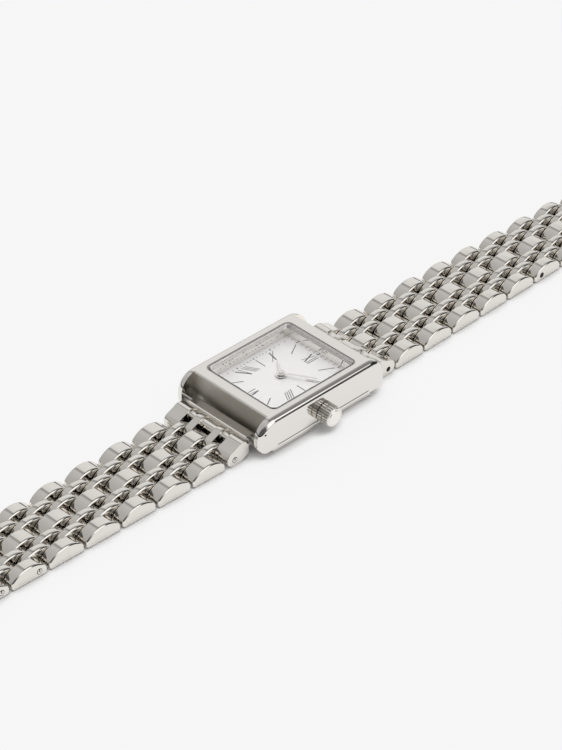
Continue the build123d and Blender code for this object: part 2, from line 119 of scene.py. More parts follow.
# Nodes and materials


def add_node(tree, kind, settings=None, inputs=None):
    """Add a shader node, set its properties and values, and link what comes from other nodes."""
    node = tree.nodes.new(kind)
    for key, value in (settings or {}).items():
        setattr(node, key, value)
    for key, value in (inputs or {}).items():
        if isinstance(value, bpy.types.NodeSocket):
            tree.links.new(value, node.inputs[key])
        else:
            node.inputs[key].default_value = value
    return node


def new_material(name):
    """An empty node material with its Principled shader already linked to the output."""
    material = bpy.data.materials.new(name)
    material.use_nodes = True
    tree = material.node_tree
    tree.nodes.clear()
    shader = add_node(tree, "ShaderNodeBsdfPrincipled")
    output = add_node(tree, "ShaderNodeOutputMaterial", inputs={"Surface": shader.outputs["BSDF"]})
    return material, tree, shader, output


def set_stops(ramp, stops):
    """Fill a colour ramp with grey levels, given as linear values."""
    elements = ramp.color_ramp.elements
    elements.remove(elements[1])
    for index, (position, level) in enumerate(stops):
        stop = elements[0] if index == 0 else elements.new(position)
        stop.position = position
        stop.color = (level, level, level, 1.0)


def levels(tree, value, stops):
    """Turn a value into a grey level by a ramp."""
    ramp = add_node(tree, "ShaderNodeValToRGB", inputs={0: value})
    set_stops(ramp, stops)
    return ramp.outputs["Color"]


def towards(tree, place, direction):
    """How far the world's direction points a given way."""
    dot = add_node(
        tree,
        "ShaderNodeVectorMath",
        {"operation": "DOT_PRODUCT"},
        {0: place.outputs["Generated"], 1: direction},
    )
    return dot.outputs["Value"]


def combine(tree, operation, first, second):
    """One sum or product of two values."""
    return add_node(tree, "ShaderNodeMath", {"operation": operation}, {0: first, 1: second}).outputs[0]


def object_noise(tree, size_mm, detail=2.0, stretch=(1.0, 1.0, 1.0)):
    """Noise on the object's own coordinates whose features are about this many millimetres."""
    place = add_node(tree, "ShaderNodeTexCoord")
    mapping = add_node(
        tree,
        "ShaderNodeMapping",
        inputs={"Vector": place.outputs["Object"], "Scale": stretch},
    )
    return add_node(
        tree,
        "ShaderNodeTexNoise",
        inputs={
            "Vector": mapping.outputs["Vector"],
            "Scale": 1 / (size_mm * MM),
            "Detail": detail,
        },
    )


def spread(tree, value, low, high):
    """Stretch a noise value over a range of roughness or mix."""
    return add_node(
        tree,
        "ShaderNodeMapRange",
        inputs={"Value": value, "From Min": 0.3, "From Max": 0.7, "To Min": low, "To Max": high},
    )


def add_bump(tree, shader, height, distance_mm, strength):
    """Give a shader a fine relief."""
    bump = add_node(
        tree,
        "ShaderNodeBump",
        inputs={"Height": height, "Distance": distance_mm * MM, "Strength": strength},
    )
    tree.links.new(bump.outputs["Normal"], shader.inputs["Normal"])


def darker(shade, share):
    """A share of a colour's light."""
    return (*(channel * share for channel in shade[:3]), 1.0)


def polished_steel(name, tint, rough_low, rough_high):
    """Buffed 316L steel: clear reflections, a trace of haze and hairlines from the mop."""
    material, tree, shader, _ = new_material(name)
    shader.inputs["Base Color"].default_value = tint
    shader.inputs["Metallic"].default_value = 1.0
    haze = object_noise(tree, 2.6, detail=3.0)
    rough = spread(tree, haze.outputs["Fac"], rough_low, rough_high)
    tree.links.new(rough.outputs["Result"], shader.inputs["Roughness"])
    hairlines = object_noise(tree, 0.35, detail=4.0, stretch=(1.0, 0.12, 1.0))
    add_bump(tree, shader, hairlines.outputs["Fac"], 0.002, 0.06)
    return material


def turned_steel():
    """Steel as it leaves the lathe: fine rings, duller than the polished faces."""
    material, tree, shader, _ = new_material("turned_steel")
    shader.inputs["Base Color"].default_value = linear("#b9b8b6")
    shader.inputs["Metallic"].default_value = 1.0
    rings = object_noise(tree, 0.12, detail=3.0, stretch=(1.0, 0.1, 0.1))
    rough = spread(tree, rings.outputs["Fac"], 0.22, 0.38)
    tree.links.new(rough.outputs["Result"], shader.inputs["Roughness"])
    add_bump(tree, shader, rings.outputs["Fac"], 0.004, 0.2)
    return material


def mineral_glass():
    """Mineral crystal: clear and flat, and it lets light through to the dial."""
    material, tree, shader, output = new_material("mineral_glass")
    shader.inputs["Base Color"].default_value = linear("#fdfcfc")
    shader.inputs["Roughness"].default_value = 0.0
    shader.inputs["IOR"].default_value = 1.5
    shader.inputs["Transmission Weight"].default_value = 1.0
    path = add_node(tree, "ShaderNodeLightPath")
    passed = add_node(
        tree,
        "ShaderNodeMath",
        {"operation": "MAXIMUM"},
        {0: path.outputs["Is Shadow Ray"], 1: path.outputs["Is Diffuse Ray"]},
    )
    clear = add_node(tree, "ShaderNodeBsdfTransparent")
    mix = add_node(
        tree,
        "ShaderNodeMixShader",
        inputs={0: passed.outputs["Value"], 1: shader.outputs["BSDF"], 2: clear.outputs["BSDF"]},
    )
    tree.links.new(mix.outputs["Shader"], output.inputs["Surface"])
    return material


def white_lacquer(shade):
    """Sprayed and rubbed white dial lacquer: even, with a low sheen."""
    material, tree, shader, _ = new_material("white_dial_lacquer")
    tone = object_noise(tree, 1.8, detail=3.0)
    blend = add_node(
        tree,
        "ShaderNodeMix",
        {"data_type": "RGBA"},
        {"Factor": tone.outputs["Fac"], 6: shade, 7: darker(shade, 0.96)},
    )
    tree.links.new(blend.outputs[2], shader.inputs["Base Color"])
    shader.inputs["Roughness"].default_value = 0.42
    grain = object_noise(tree, 0.15)
    add_bump(tree, shader, grain.outputs["Fac"], 0.002, 0.1)
    return material


def printing_ink(shade):
    """Pad-printed dial ink: matt, nearly black, a little thin in places."""
    material, tree, shader, _ = new_material("pad_print_ink")
    tone = object_noise(tree, 0.3)
    blend = add_node(
        tree,
        "ShaderNodeMix",
        {"data_type": "RGBA"},
        {"Factor": tone.outputs["Fac"], 6: darker(shade, 0.75), 7: darker(shade, 1.4)},
    )
    tree.links.new(blend.outputs[2], shader.inputs["Base Color"])
    shader.inputs["Roughness"].default_value = 0.6
    return material


def plain_stuff(name, low, high, grain_mm, rough, metallic=0.0):
    """An unpolished material: a mottled colour and a fine grain that breaks up the sheen."""
    material, tree, shader, _ = new_material(name)
    tone = object_noise(tree, grain_mm, detail=4.0)
    blend = add_node(
        tree,
        "ShaderNodeMix",
        {"data_type": "RGBA"},
        {"Factor": tone.outputs["Fac"], 6: linear(low), 7: linear(high)},
    )
    tree.links.new(blend.outputs[2], shader.inputs["Base Color"])
    shader.inputs["Metallic"].default_value = metallic
    shader.inputs["Roughness"].default_value = rough
    add_bump(tree, shader, tone.outputs["Fac"], 0.01, 0.15)
    return material


# Meshes


def add_piece(name, mesh_tool, material, body):
    """Turn a bmesh into a finished piece that rides on a body."""
    mesh = bpy.data.meshes.new(name)
    mesh_tool.to_mesh(mesh)
    mesh_tool.free()
    mesh.materials.append(material)
    piece = bpy.data.objects.new(name, mesh)
    bpy.context.scene.collection.objects.link(piece)
    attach(piece, body)
    return piece


def body_of(node):
    """The body that a node belongs to."""
    groups = frame["record"]["behaviour"]["bodies"]
    return next(body for body, members in groups.items() if node in members)


def merged_mesh(node):
    """A copy of a CAD mesh whose loose triangles are joined into flat faces."""
    tool = bmesh.new()
    tool.from_mesh(frame["nodes"][node].data)
    bmesh.ops.remove_doubles(tool, verts=tool.verts, dist=0.0005 * MM)
    bmesh.ops.dissolve_limit(
        tool, angle_limit=math.radians(1.0), verts=tool.verts, edges=tool.edges, delimit=set()
    )
    return tool


def sharp_edges(tool, degrees, clear_of):
    """Edges that turn by more than an angle, clear of the bores at (y, z, radius)."""
    found = []
    for edge in tool.edges:
        if not edge.is_manifold or edge.calc_face_angle(0.0) < math.radians(degrees):
            continue
        if all(
            math.hypot(v.co.y / MM - y, v.co.z / MM - z) > radius
            for v in edge.verts
            for y, z, radius in clear_of
        ):
            found.append(edge)
    return found


def dressed_copy(node, material, edge, clear_of=(), degrees=30.0, segments=2, tool=None):
    """Replace a node by a merged copy with small rounded edges, which catch the light."""
    tool = tool or merged_mesh(node)
    round_edges(tool, sharp_edges(tool, degrees, clear_of), edge / MM, segments)
    for face in tool.faces:
        face.smooth = True
    for line in tool.edges:
        line.smooth = not line.is_manifold or line.calc_face_angle(0.0) < math.radians(degrees)
    piece = add_piece(f"{node}_dressed", tool, material, body_of(node))
    weighted = piece.modifiers.new("face_weighted_normals", "WEIGHTED_NORMAL")
    weighted.keep_sharp = True
    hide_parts(node)
    return piece


def round_edges(tool, edges, radius_mm, segments):
    """Round some edges of a mesh."""
    bmesh.ops.bevel(
        tool,
        geom=edges,
        offset=radius_mm * MM,
        offset_type="OFFSET",
        segments=segments,
        profile=0.5,
        affect="EDGES",
        clamp_overlap=True,
        material=-1,
    )


def give_material(node, material):
    """Finish a CAD node as it is."""
    slots = frame["nodes"][node].data.materials
    slots.clear()
    slots.append(material)


def add_bore(name, material, node, place, radius):
    """A flat near-black disc at the mouth of a bore that runs along X, level with the face that it
    opens in: painted shade in place of the hole's depth.
    """
    tool = bmesh.new()
    bmesh.ops.create_cone(
        tool,
        cap_ends=True,
        segments=24,
        radius1=radius * MM,
        radius2=radius * MM,
        depth=0.05 * MM,
        matrix=Matrix.Translation((Vector(place) - Vector((0.025, 0, 0))) * MM)
        @ Matrix.Rotation(math.radians(90), 4, "Y"),
    )
    return add_piece(name, tool, material, body_of(node))


def add_bar(tool, start, end, width, low, thickness):
    """A flat printed stroke from one place to another on the dial."""
    start, end = Vector(start), Vector(end)
    along = end - start
    side = Vector((-along.y, along.x)).normalized() * width / 2
    corners = [start - side, end - side, end + side, start + side]
    verts = [tool.verts.new((c.x * MM, c.y * MM, low * MM)) for c in corners]
    face = tool.faces.new(verts)
    raised = bmesh.ops.extrude_face_region(tool, geom=[face])
    tops = [v for v in raised["geom"] if isinstance(v, bmesh.types.BMVert)]
    bmesh.ops.translate(tool, verts=tops, vec=(0, 0, thickness * MM))


# Stage


class WATCH_OT_stage(bpy.types.Operator):
    """Lay the floor, hang the lights and set up the camera"""

    bl_idname = "watch.stage"
    bl_label = "Stage"

    def execute(self, context):
        self.lay_floor(context.scene.watch_colours.paper)
        self.light_world(context)
        self.set_camera(context)
        context.scene.view_settings.view_transform = "Standard"
        return {"FINISHED"}

    def lay_floor(self, paper):
        """Paper whose own glow fills most of the shadow for the camera and for what mirrors it."""
        tool = bmesh.new()
        bmesh.ops.create_grid(tool, x_segments=1, y_segments=1, size=FLOOR_HALF)
        mesh = bpy.data.meshes.new("paper_floor")
        tool.to_mesh(mesh)
        tool.free()
        material, tree, shader, output = new_material("matt_paper")
        shader.inputs["Base Color"].default_value = paper
        shader.inputs["Roughness"].default_value = 1.0
        shader.inputs["Specular IOR Level"].default_value = 0.0
        glow = add_node(tree, "ShaderNodeEmission", inputs={"Color": paper, "Strength": 1.0})
        path = add_node(tree, "ShaderNodeLightPath")
        direct = path.outputs["Is Camera Ray"]
        seen = combine(tree, "MAXIMUM", direct, path.outputs["Is Glossy Ray"])
        seen = combine(tree, "MAXIMUM", seen, path.outputs["Is Transmission Ray"])
        open_sky = add_node(
            tree, "ShaderNodeAmbientOcclusion", {"samples": 12}, {"Distance": SHADOW_REACH * MM}
        )
        open_sky = levels(tree, open_sky.outputs["AO"], CONTACT_SHADOW)
        share = combine(tree, "MULTIPLY", combine(tree, "MULTIPLY", seen, PAPER_GLOW), open_sky)
        mix = add_node(
            tree,
            "ShaderNodeMixShader",
            inputs={0: share, 1: shader.outputs["BSDF"], 2: glow.outputs["Emission"]},
        )
        tree.links.new(mix.outputs["Shader"], output.inputs["Surface"])
        mesh.materials.append(material)
        floor = bpy.data.objects.new("paper_floor", mesh)
        bpy.context.scene.collection.objects.link(floor)

    def light_world(self, context):
        """Light from overhead for the floor, and a tent for the metal to mirror."""
        world = bpy.data.worlds.new("studio_tent")
        world.use_nodes = True
        tree = world.node_tree
        tree.nodes.clear()
        place = add_node(tree, "ShaderNodeTexCoord")
        overhead = levels(tree, towards(tree, place, LIGHT_FROM), LIGHT_STOPS)
        lighting = add_node(
            tree, "ShaderNodeBackground", inputs={"Color": overhead, "Strength": 1.0}
        )
        mirrored = add_node(
            tree, "ShaderNodeBackground", inputs={"Color": self.tent(tree, place), "Strength": 1.0}
        )
        path = add_node(tree, "ShaderNodeLightPath")
        mix = add_node(
            tree,
            "ShaderNodeMixShader",
            inputs={
                0: path.outputs["Is Glossy Ray"],
                1: lighting.outputs["Background"],
                2: mirrored.outputs["Background"],
            },
        )
        paper = context.scene.watch_colours.paper
        backdrop = add_node(tree, "ShaderNodeBackground", inputs={"Color": paper, "Strength": 1.0})
        seen = add_node(
            tree,
            "ShaderNodeMixShader",
            inputs={
                0: path.outputs["Is Camera Ray"],
                1: mix.outputs["Shader"],
                2: backdrop.outputs["Background"],
            },
        )
        add_node(tree, "ShaderNodeOutputWorld", inputs={"Surface": seen.outputs["Shader"]})
        context.scene.world = world

    def tent(self, tree, place):
        """How bright the tent is in each direction."""
        split = add_node(tree, "ShaderNodeSeparateXYZ", inputs={0: place.outputs["Generated"]})
        tent = levels(tree, split.outputs["Z"], TENT_BY_HEIGHT)
        from_front = combine(tree, "ADD", towards(tree, place, (0.0, 0.5, 0.0)), 0.5)
        tent = combine(tree, "MULTIPLY", tent, levels(tree, from_front, TENT_BY_DEPTH))
        opening = levels(tree, towards(tree, place, ROOF_OPENING), ROOF_OPENING_EDGE)
        tent = combine(tree, "MULTIPLY", tent, opening)
        box = levels(tree, towards(tree, place, SOFT_BOX), SOFT_BOX_EDGE)
        tent = add_node(
            tree, "ShaderNodeMix", {"data_type": "FLOAT"}, {"Factor": box, 2: tent, 3: SOFT_BOX_LEVEL}
        ).outputs[0]
        flag = levels(tree, towards(tree, place, BLACK_FLAG), BLACK_FLAG_EDGE)
        tent = combine(tree, "MULTIPLY", tent, flag)
        front = levels(tree, towards(tree, place, FRONT_OPENING), FRONT_OPENING_EDGE)
        return combine(tree, "MULTIPLY", tent, front)

    def set_camera(self, context):
        """The camera that was fitted to the photograph."""
        data = bpy.data.cameras.new("photo_camera")
        data.lens = CAMERA_LENS
        data.sensor_width = 36.0
        data.clip_start = 0.01
        data.clip_end = 20.0
        camera = bpy.data.objects.new("photo_camera", data)
        heading, height, roll = (math.radians(turn) for turn in CAMERA_TURNS)
        back = Vector(
            (
                math.cos(height) * math.sin(heading),
                -math.cos(height) * math.cos(heading),
                math.sin(height),
            )
        )
        right = Vector((math.cos(heading), math.sin(heading), 0.0))
        up = back.cross(right)
        turned_right = right * math.cos(roll) + up * math.sin(roll)
        turned_up = up * math.cos(roll) - right * math.sin(roll)
        distance = CAMERA_DISTANCE * PITCH
        aim = turned_right * CAMERA_ASIDE * PITCH + turned_up * CAMERA_RAISE * PITCH
        rotation = Matrix((turned_right, turned_up, back)).transposed()
        camera.matrix_world = Matrix.Translation(back * distance - aim) @ rotation.to_4x4()
        context.scene.collection.objects.link(camera)
        context.scene.camera = camera


# The camera's place is in link pitches, its heading, height and roll in degrees
PITCH = 6.65 * MM
CAMERA_LENS = 121.3
CAMERA_TURNS = (45.61, 36.275, 0.251)
CAMERA_DISTANCE = 57.767
CAMERA_ASIDE = -0.0011
CAMERA_RAISE = -0.5551
# The floor's half size in metres, and the reach of its contact shadow in millimetres
FLOOR_HALF = 3.0
PAPER_GLOW = 0.9
SHADOW_REACH = 2.6
CONTACT_SHADOW = [(0.5, 0.0), (0.8, 1.0)]
# Levels of the tent by direction, as pairs of a position and a grey level
TENT_BY_HEIGHT = [(0.0, 0.1), (0.08, 0.1), (0.14, 1.0)]
TENT_BY_DEPTH = [
    (0.25, 0.5),
    (0.52, 0.62),
    (0.575, 0.36),
    (0.605, 0.36),
    (0.635, 0.79),
    (0.78, 0.86),
]
ROOF_OPENING = (0.225, 0.564, 0.795)
ROOF_OPENING_EDGE = [(0.68, 1.0), (0.8, 0.75), (0.88, 0.45), (0.98, 0.28)]
SOFT_BOX = (0.82, 0.2, 0.54)
SOFT_BOX_EDGE = [(0.865, 0.0), (0.9, 1.0)]
SOFT_BOX_LEVEL = 1.35
BLACK_FLAG = (0.5, 0.86, 0.1)
BLACK_FLAG_EDGE = [(0.86, 1.0), (0.89, 0.06)]
FRONT_OPENING = (0.6, -0.8, 0.0)
FRONT_OPENING_EDGE = [(0.5, 1.0), (0.75, 0.2)]
LIGHT_FROM = (-0.25, 0.25, 0.935)
LIGHT_STOPS = [(0.0, 0.4), (0.6, 0.6), (0.85, 1.65)]


# Steel


class WATCH_OT_steel(bpy.types.Operator):
    """Polish and blast the case and its back"""

    bl_idname = "watch.steel"
    bl_label = "Polished steel"

    def execute(self, context):
        colours, sizes = context.scene.watch_colours, context.scene.watch_sizes
        # Mirror-polished steel: the tent stands sharp in the case's sides
        case = polished_steel("mirror_polished_steel", colours.case_steel, 0.03, 0.07)
        middle = dressed_copy("case_middle", case, sizes.case_edge)
        # Blasted steel, tinted darker than the case as painted shade in the recess: a soft grey
        # without a clear reflection
        dull = polished_steel("blasted_steel_with_painted_shade", colours.recess_shade_tint, 0.42, 0.54)
        self.dull_recess(middle, dull)
        dressed_copy("caseback", case, BACK_EDGE_SHARE * sizes.case_edge)
        # Painted shade for the back seam and the lug hole: near black, matt steel where no light
        # reaches
        bore = plain_stuff("seam_and_lug_hole_painted_shade", "#26231f", "#322e29", 0.3, 0.8)
        self.cut_back_seam(middle, bore)
        # A flat disc of painted shade stands for the lug hole on the case's side
        add_bore("lug_hole_six", bore, "case_middle", LUG_HOLE, LUG_HOLE_RADIUS)
        # Finely blasted steel: light and even beside the dial
        satin = polished_steel("blasted_ledge_steel", colours.ledge_steel, 0.34, 0.42)
        self.blast_ledge(middle, satin)
        return {"FINISHED"}

    def blast_ledge(self, middle, satin):
        """The ledge under the crystal is blasted, so that it stays quiet beside the dial."""
        middle.data.materials.append(satin)
        low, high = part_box("crystal_gasket")
        for face in middle.data.polygons:
            at = face.center
            inside_x = low.x - LEDGE_MARGIN * MM < at.x < high.x + LEDGE_MARGIN * MM
            inside_y = low.y - LEDGE_MARGIN * MM < at.y < high.y + LEDGE_MARGIN * MM
            on_ledge = face.normal.z > 0.3 and at.z < low.z + LEDGE_HEIGHT * MM
            if inside_x and inside_y and on_ledge:
                face.material_index = LEDGE_SLOT

    def cut_back_seam(self, middle, bore):
        """The seam between the case's sides and its back plate: a hairline cut a little into the side
        and painted near black as shade.
        """
        middle.data.materials.append(bore)
        tool = bmesh.new()
        tool.from_mesh(middle.data)
        for plane, normal in (
            ((0, 0, SEAM_LOW), (0, 0, 1)),
            ((0, 0, SEAM_HIGH), (0, 0, 1)),
            ((0, SEAM_REACH, 0), (0, 1, 0)),
            ((0, -SEAM_REACH, 0), (0, 1, 0)),
        ):
            near = [f for f in tool.faces if self.on_side(f)]
            rims = {e for f in near for e in f.edges}
            corners = {v for f in near for v in f.verts}
            bmesh.ops.bisect_plane(
                tool,
                geom=near + list(rims | corners),
                plane_co=Vector(plane) * MM,
                plane_no=normal,
            )
        strip = [f for f in tool.faces if self.on_side(f) and self.in_seam(f)]
        bmesh.ops.inset_region(
            tool, faces=strip, thickness=SEAM_WALL * MM, depth=-SEAM_DEPTH * MM
        )
        # The seam's strip takes the painted shade
        for face in strip:
            face.material_index = SEAM_SLOT
        tool.to_mesh(middle.data)
        tool.free()

    def on_side(self, face):
        """Whether a face lies on the flat outer side of the case."""
        return abs(face.normal.x) > 0.99 and abs(face.calc_center_median().x) > CASE_SIDE * MM

    def in_seam(self, face):
        """Whether a face lies between the seam's lines."""
        _, y, z = face.calc_center_median() / MM
        return SEAM_LOW < z < SEAM_HIGH and abs(y) < SEAM_REACH

    def dull_recess(self, middle, dull):
        """Give the walls between the side bars a blasted finish and a darker tint, which is painted
        shade.
        """
        middle.data.materials.append(dull)
        for face in middle.data.polygons:
            x, y, _ = face.center / MM
            if abs(x) < RECESS_HALF_WIDTH and abs(y) > RECESS_START and face.normal.z < 0.5:
                face.material_index = RECESS_SLOT


# The case's material slots, in the order that they are added in
RECESS_SLOT, SEAM_SLOT, LEDGE_SLOT = 1, 2, 3
BACK_EDGE_SHARE = 0.75
# Places and sizes on the case, in millimetres
CASE_SIDE = 9.0
RECESS_HALF_WIDTH = 7.3
RECESS_START = 10.4
LEDGE_MARGIN = 0.2
LEDGE_HEIGHT = 0.3
SEAM_LOW = 1.5
SEAM_HIGH = 1.72
SEAM_REACH = 9.6
SEAM_DEPTH = 0.06
SEAM_WALL = 0.01
LUG_HOLE = (9.24, -12.1, 4.62)
LUG_HOLE_RADIUS = 0.16


class WATCH_OT_crown(bpy.types.Operator):
    """Turn and knurl the crown"""

    bl_idname = "watch.crown"
    bl_label = "Crown"

    def execute(self, context):
        colours = context.scene.watch_colours
        # Rolled knurl: satin teeth that catch the light one by one
        steel = polished_steel("knurled_steel", colours.crown_steel, 0.36, 0.46)
        low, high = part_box("crown")
        height = (low.z + high.z) / 2 / MM
        start, end = low.x / MM, high.x / MM
        tool = bmesh.new()
        groove = start + CROWN_COLLAR
        teeth_end, rim_end = end - CROWN_TEETH_END, end - CROWN_RIM_END
        self.add_drum(tool, start, groove, CROWN_RADIUS, height, CROWN_TEETH)
        self.add_drum(tool, start + CROWN_LAP, end - CROWN_NECK_END, CROWN_NECK, height, 0)
        self.add_drum(tool, groove + CROWN_GROOVE, teeth_end, CROWN_RADIUS, height, CROWN_TEETH)
        self.add_drum(
            tool, end - CROWN_RIM_START, rim_end, CROWN_RADIUS, height, 0, face=CROWN_RIM_EDGE
        )
        self.add_drum(
            tool, end - CROWN_DISC_START, end, CROWN_DISC, height, 0, face=CROWN_DISC_EDGE
        )
        for face in tool.faces:
            if face.calc_center_median().x > (end - CROWN_FACE) * MM:
                face.material_index = CROWN_END_SLOT
        tool.normal_update()
        for face in tool.faces:
            face.smooth = False
        piece = add_piece("knurled_crown", tool, steel, body_of("crown"))
        # The knurl's floors: matt steel, a little darker than the teeth as painted shade
        floors = plain_stuff("knurl_floor_painted_shade", "#aca69d", "#b6b0a7", 0.2, 0.5, 1.0)
        piece.data.materials.append(floors)
        # Buffed steel on the end face: bright and clear
        buffed = polished_steel("buffed_crown_end_steel", colours.crown_steel, 0.14, 0.2)
        piece.data.materials.append(buffed)
        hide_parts("crown")
        return {"FINISHED"}

    def add_drum(self, tool, start, end, radius, height, teeth, face=0.0):
        """A short cylinder along the stem, with teeth raised on it or a rounded outer face."""
        drum = bmesh.ops.create_cone(
            tool,
            cap_ends=True,
            segments=2 * teeth or 64,
            radius1=radius * MM,
            radius2=radius * MM,
            depth=(end - start) * MM,
            matrix=Matrix.Translation(Vector(((start + end) / 2, 0.0, height)) * MM)
            @ Matrix.Rotation(math.radians(90), 4, "Y"),
        )
        tool.normal_update()
        sides = {f for v in drum["verts"] for f in v.link_faces if abs(f.normal.x) < 0.5}
        if teeth:
            axis = Vector(((start + end) / 2, 0.0, height)) * MM
            sides = sorted(
                sides,
                key=lambda f: math.atan2(*(f.calc_center_median() - axis).zy),
            )
            # Every other face round the drum is a floor between teeth and takes the painted shade
            for floor in sides[1::2]:
                floor.material_index = KNURL_FLOOR_SLOT
            raised = bmesh.ops.extrude_discrete_faces(tool, faces=sides[::2])
            for tooth in raised["faces"]:
                outward = (tooth.calc_center_median() - axis).normalized()
                bmesh.ops.translate(tool, verts=tooth.verts, vec=outward * CROWN_TOOTH * MM)
        if face:
            rim = [
                e
                for v in drum["verts"]
                for e in v.link_edges
                if all(abs(p.co.x / MM - end) < 0.01 for p in e.verts)
            ]
            round_edges(tool, list(set(rim)), face, 1)


KNURL_FLOOR_SLOT, CROWN_END_SLOT = 1, 2
# The crown's sizes, in millimetres
CROWN_COLLAR = 0.8
CROWN_GROOVE = 0.24
CROWN_RADIUS = 1.53
CROWN_NECK = 1.2
CROWN_DISC = 1.14
CROWN_TEETH = 24
CROWN_TOOTH = 0.12
# How far the neck starts from the case, and where each drum starts or ends before the face
CROWN_LAP = 0.05
CROWN_NECK_END = 0.2
CROWN_TEETH_END = 0.24
CROWN_RIM_START = 0.26
CROWN_RIM_END = 0.07
CROWN_RIM_EDGE = 0.1
CROWN_DISC_START = 0.1
CROWN_DISC_EDGE = 0.05
CROWN_FACE = 0.03


class WATCH_OT_links(bpy.types.Operator):
    """Dome, round and polish the bracelet, and set its pin ends"""

    bl_idname = "watch.links"
    bl_label = "Bracelet"

    def execute(self, context):
        colours, sizes = context.scene.watch_colours, context.scene.watch_sizes
        # Tumble-polished steel: the domes mirror the tent softly
        steel = polished_steel("tumble_polished_steel", colours.link_steel, 0.04, 0.08)
        for node in ROWS:
            self.dome_row(node, steel, sizes)
        for node in END_LINKS:
            side = math.copysign(1.0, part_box(node)[0].y)
            bores = [
                (side * FIRST_PIN, PIN_HEIGHT, PIN_CLEAR),
                (side * LUG_BAR, LUG_BAR_HEIGHT, LUG_BAR_CLEAR),
            ]
            dressed_copy(node, steel, sizes.link_edge / 3, bores, degrees=LINK_CREASE)
        # Brushed steel: a soft sheen without clear reflections
        brushed = polished_steel("brushed_steel", colours.clasp_steel, 0.28, 0.38)
        for node in CLASP:
            dressed_copy(node, brushed, sizes.link_edge / 3)
        self.set_pin_ends(steel)
        return {"FINISHED"}

    def dome_row(self, node, steel, sizes):
        """Rebuild a row with smooth domes and round toes on the CAD row's columns and pins."""
        low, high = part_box(node)
        middle = (low.y + high.y) / 2 / MM
        row = bmesh.new()
        if node.startswith("outer"):
            edge = high.x / MM
            for start, end in ((CENTRE_EDGE, INNER_EDGE), (OUTER_EDGE, edge + COLUMN_PLAY)):
                self.add_link(row, middle, start, end, (), sizes)
                self.add_link(row, middle, -end, -start, (), sizes)
            self.taper_flanks(row, middle)
            for side in (-1, 1):
                self.add_pin(row, middle + side * PIN_SPAN)
        else:
            bores = (middle - PIN_SPAN, middle + PIN_SPAN)
            self.add_link(row, middle, -CENTRE_EDGE, CENTRE_EDGE, bores, sizes)
            self.add_link(row, middle, INNER_EDGE, OUTER_EDGE, bores, sizes)
            self.add_link(row, middle, -OUTER_EDGE, -INNER_EDGE, bores, sizes)
        for face in row.faces:
            face.smooth = True
        for line in row.edges:
            angle = math.radians(LINK_CREASE)
            line.smooth = not line.is_manifold or line.calc_face_angle(0.0) < angle
        piece = add_piece(f"{node}_domed", row, steel, body_of(node))
        weighted = piece.modifiers.new("face_weighted_normals", "WEIGHTED_NORMAL")
        weighted.keep_sharp = True
        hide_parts(node)

    def add_link(self, row, middle, start, end, bores, sizes):
        """One link of a column: its side outline swept across, its edges rounded, its bores cut."""
        tool = bmesh.new()
        start, end = start + COLUMN_PLAY, end - COLUMN_PLAY
        shoulder = LINK_HEIGHT - LINK_BOW + math.sqrt(LINK_BOW**2 - LINK_HALF**2)
        reach = math.asin(LINK_HALF / LINK_BOW)
        first = tool.verts.new(Vector((start, middle + LINK_HALF, shoulder)) * MM)
        arc = bmesh.ops.spin(
            tool,
            geom=[first],
            cent=Vector((start, middle, LINK_HEIGHT - LINK_BOW)) * MM,
            axis=(1.0, 0.0, 0.0),
            angle=2 * reach,
            steps=20,
        )
        last = arc["geom_last"][0]
        far = tool.verts.new(Vector((start, middle - LINK_HALF, 0.0)) * MM)
        near = tool.verts.new(Vector((start, middle + LINK_HALF, 0.0)) * MM)
        for pair in ((last, far), (far, near), (near, first)):
            tool.edges.new(pair)
        outline = bmesh.ops.contextual_create(tool, geom=tool.edges[:])["faces"]
        swept = bmesh.ops.extrude_face_region(tool, geom=outline)
        moved = [v for v in swept["geom"] if isinstance(v, bmesh.types.BMVert)]
        bmesh.ops.translate(tool, verts=moved, vec=((end - start) * MM, 0, 0))
        bmesh.ops.recalc_face_normals(tool, faces=tool.faces)
        self.round_across(tool, 0.0, sizes.link_toe / MM, 4)
        self.round_across(tool, shoulder, sizes.link_toe / MM / 2, 2)
        flanks = [f for f in tool.faces if abs(f.normal.x) > 0.99]
        rims = list({e for f in flanks for e in f.edges})
        round_edges(tool, rims, sizes.link_edge / MM, 3)
        if bores:
            self.cut_bores(tool, bores, start, end)
        mesh = bpy.data.meshes.new("link")
        tool.to_mesh(mesh)
        tool.free()
        row.from_mesh(mesh)
        bpy.data.meshes.remove(mesh)

    def round_across(self, tool, height, radius, segments):
        """Round the edges that run across a link at a height."""
        level = [
            e
            for e in tool.edges
            if abs(e.verts[0].co.x - e.verts[1].co.x) > 0.5 * MM
            and all(abs(v.co.z / MM - height) < 0.01 for v in e.verts)
        ]
        round_edges(tool, level, radius, segments)

    def cut_bores(self, tool, bores, start, end):
        """Open the link's flanks round each pin and line the bores."""
        rings = []
        for place in (start, end):
            flat = [
                f
                for f in tool.faces
                if abs(f.normal.x) > 0.99 and abs(f.calc_center_median().x / MM - place) < 0.01
            ]
            rim = [e for f in flat for e in f.edges]
            bmesh.ops.delete(tool, geom=flat, context="FACES_ONLY")
            for y in bores:
                circle = bmesh.ops.create_circle(
                    tool,
                    segments=12,
                    radius=LINK_BORE * MM,
                    matrix=Matrix.Translation(Vector((place, y, PIN_HEIGHT)) * MM)
                    @ Matrix.Rotation(math.radians(90), 4, "Y"),
                )
                ring = list({e for v in circle["verts"] for e in v.link_edges})
                rings.append((y, ring))
                rim += ring
            bmesh.ops.triangle_fill(tool, edges=rim, use_beauty=True)
        for y in bores:
            pair = [edge for place, ring in rings if place == y for edge in ring]
            bmesh.ops.bridge_loops(tool, edges=pair)
        bmesh.ops.recalc_face_normals(tool, faces=tool.faces)

